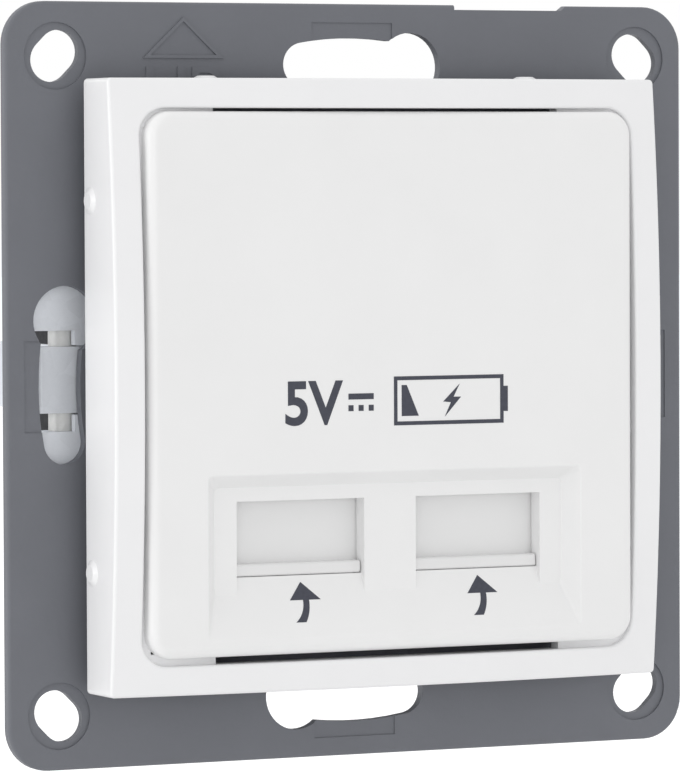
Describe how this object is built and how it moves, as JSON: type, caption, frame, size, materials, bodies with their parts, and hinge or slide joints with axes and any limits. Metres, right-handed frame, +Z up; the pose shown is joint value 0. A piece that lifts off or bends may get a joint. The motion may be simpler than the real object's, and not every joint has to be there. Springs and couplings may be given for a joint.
{
  "type": "usb wall socket",
  "caption": "Flush wall socket for USB charging: grey square support plate, white crowned frame and centre plate with shuttered ports, fixing claws and a power supply in a rear box.",
  "frame": {"origin": "centre of the support plate on the wall plane, which is the rear of its corner pads and claw brackets", "axes": "+X right, +Y into the wall, +Z up"},
  "size_m": [0.0706, 0.042, 0.0706],
  "materials": {
    "plate_grey": "fine matt",
    "frame_white": "satin",
    "face_white": "satin",
    "shutter_white": "satin",
    "chassis_black": "matt",
    "housing_black": "fine texture",
    "spring_steel": "drawn",
    "zinc_sheet": "galvanised",
    "zinc_turned": "zinc plated",
    "shell_nickel": "nickel plated",
    "tongue_white": "matt",
    "contact_gold": "gold plated",
    "board_green": "solder mask",
    "ferrite": "sintered",
    "bobbin_plastic": "matt",
    "winding_tape": "tape",
    "capacitor_sleeve": "shrunk sleeve",
    "fuse_coat": "lacquer",
    "disc_coat": "dipped",
    "chip_black": "moulded",
    "terminal_brass": "turned"
  },
  "bodies": {
    "socket": {"support_plate": "plate_grey", "inner_frame": "frame_white", "centre_plate": "face_white", "front_chassis": "chassis_black", "rear_housing": "housing_black", "shutter_spring_left": "spring_steel", "shutter_spring_right": "spring_steel", "claw_bracket_left": "zinc_sheet", "claw_bracket_right": "zinc_sheet", "bracket_rivets": "zinc_sheet", "claw_pin_left": "zinc_turned", "claw_pin_right": "zinc_turned", "chassis_screws": "zinc_turned", "terminal_screws": "zinc_turned", "usb_shell_left": "shell_nickel", "usb_shell_right": "shell_nickel", "usb_tongue_left": "tongue_white", "usb_tongue_right": "tongue_white", "usb_contacts_left": "contact_gold", "usb_contacts_right": "contact_gold", "board_link_pins": "contact_gold", "usb_board": "board_green", "main_board": "board_green", "transformer_core": "ferrite", "line_choke": "ferrite", "transformer_bobbin": "bobbin_plastic", "board_link_header": "bobbin_plastic", "transformer_winding": "winding_tape", "input_capacitor_inner": "capacitor_sleeve", "input_capacitor_outer": "capacitor_sleeve", "output_capacitor_outer": "capacitor_sleeve", "output_capacitor_inner": "capacitor_sleeve", "fuse_resistor": "fuse_coat", "safety_capacitor": "disc_coat", "bridge_rectifier": "chip_black", "power_controller": "chip_black", "port_controller": "chip_black", "terminal_line": "terminal_brass", "terminal_neutral": "terminal_brass"},
    "shutter_left": {"shutter_left": "shutter_white"},
    "shutter_right": {"shutter_right": "shutter_white"},
    "claw_left": {"claw_left": "zinc_sheet"},
    "claw_right": {"claw_right": "zinc_sheet"},
    "claw_screw_left": {"claw_screw_left": "zinc_turned"},
    "claw_screw_right": {"claw_screw_right": "zinc_turned"}
  },
  "joints": [
    {"name": "shutter_left_slide", "type": "slide", "parent": "socket", "child": "shutter_left", "axis": [0, 0, 1], "range_m": [0, 0.0055], "stiffness_N_per_m": 25, "springref_m": -0.006, "deforming": ["shutter_spring_left"]},
    {"name": "shutter_right_slide", "type": "slide", "parent": "socket", "child": "shutter_right", "axis": [0, 0, 1], "range_m": [0, 0.0055], "stiffness_N_per_m": 25, "springref_m": -0.006, "deforming": ["shutter_spring_right"]},
    {"name": "claw_left_hinge", "type": "hinge", "parent": "socket", "child": "claw_left", "pos_m": [-0.02835, 0.00145, 0], "axis": [0, 0, 1], "range_deg": [0, 22]},
    {"name": "claw_screw_left_slide", "type": "slide", "parent": "socket", "child": "claw_screw_left", "axis": [0, 1, 0], "range_m": [0, 0.0015]},
    {"name": "claw_right_hinge", "type": "hinge", "parent": "socket", "child": "claw_right", "pos_m": [0.02835, 0.00145, 0], "axis": [0, 0, -1], "range_deg": [0, 22]},
    {"name": "claw_screw_right_slide", "type": "slide", "parent": "socket", "child": "claw_screw_right", "axis": [0, 1, 0], "range_m": [0, 0.0015]}
  ],
  "couplings": [
    {"joint": "claw_screw_left_slide", "follows": "claw_left_hinge", "m_per_rad": 0.0039},
    {"joint": "claw_screw_right_slide", "follows": "claw_right_hinge", "m_per_rad": 0.0039}
  ]
}
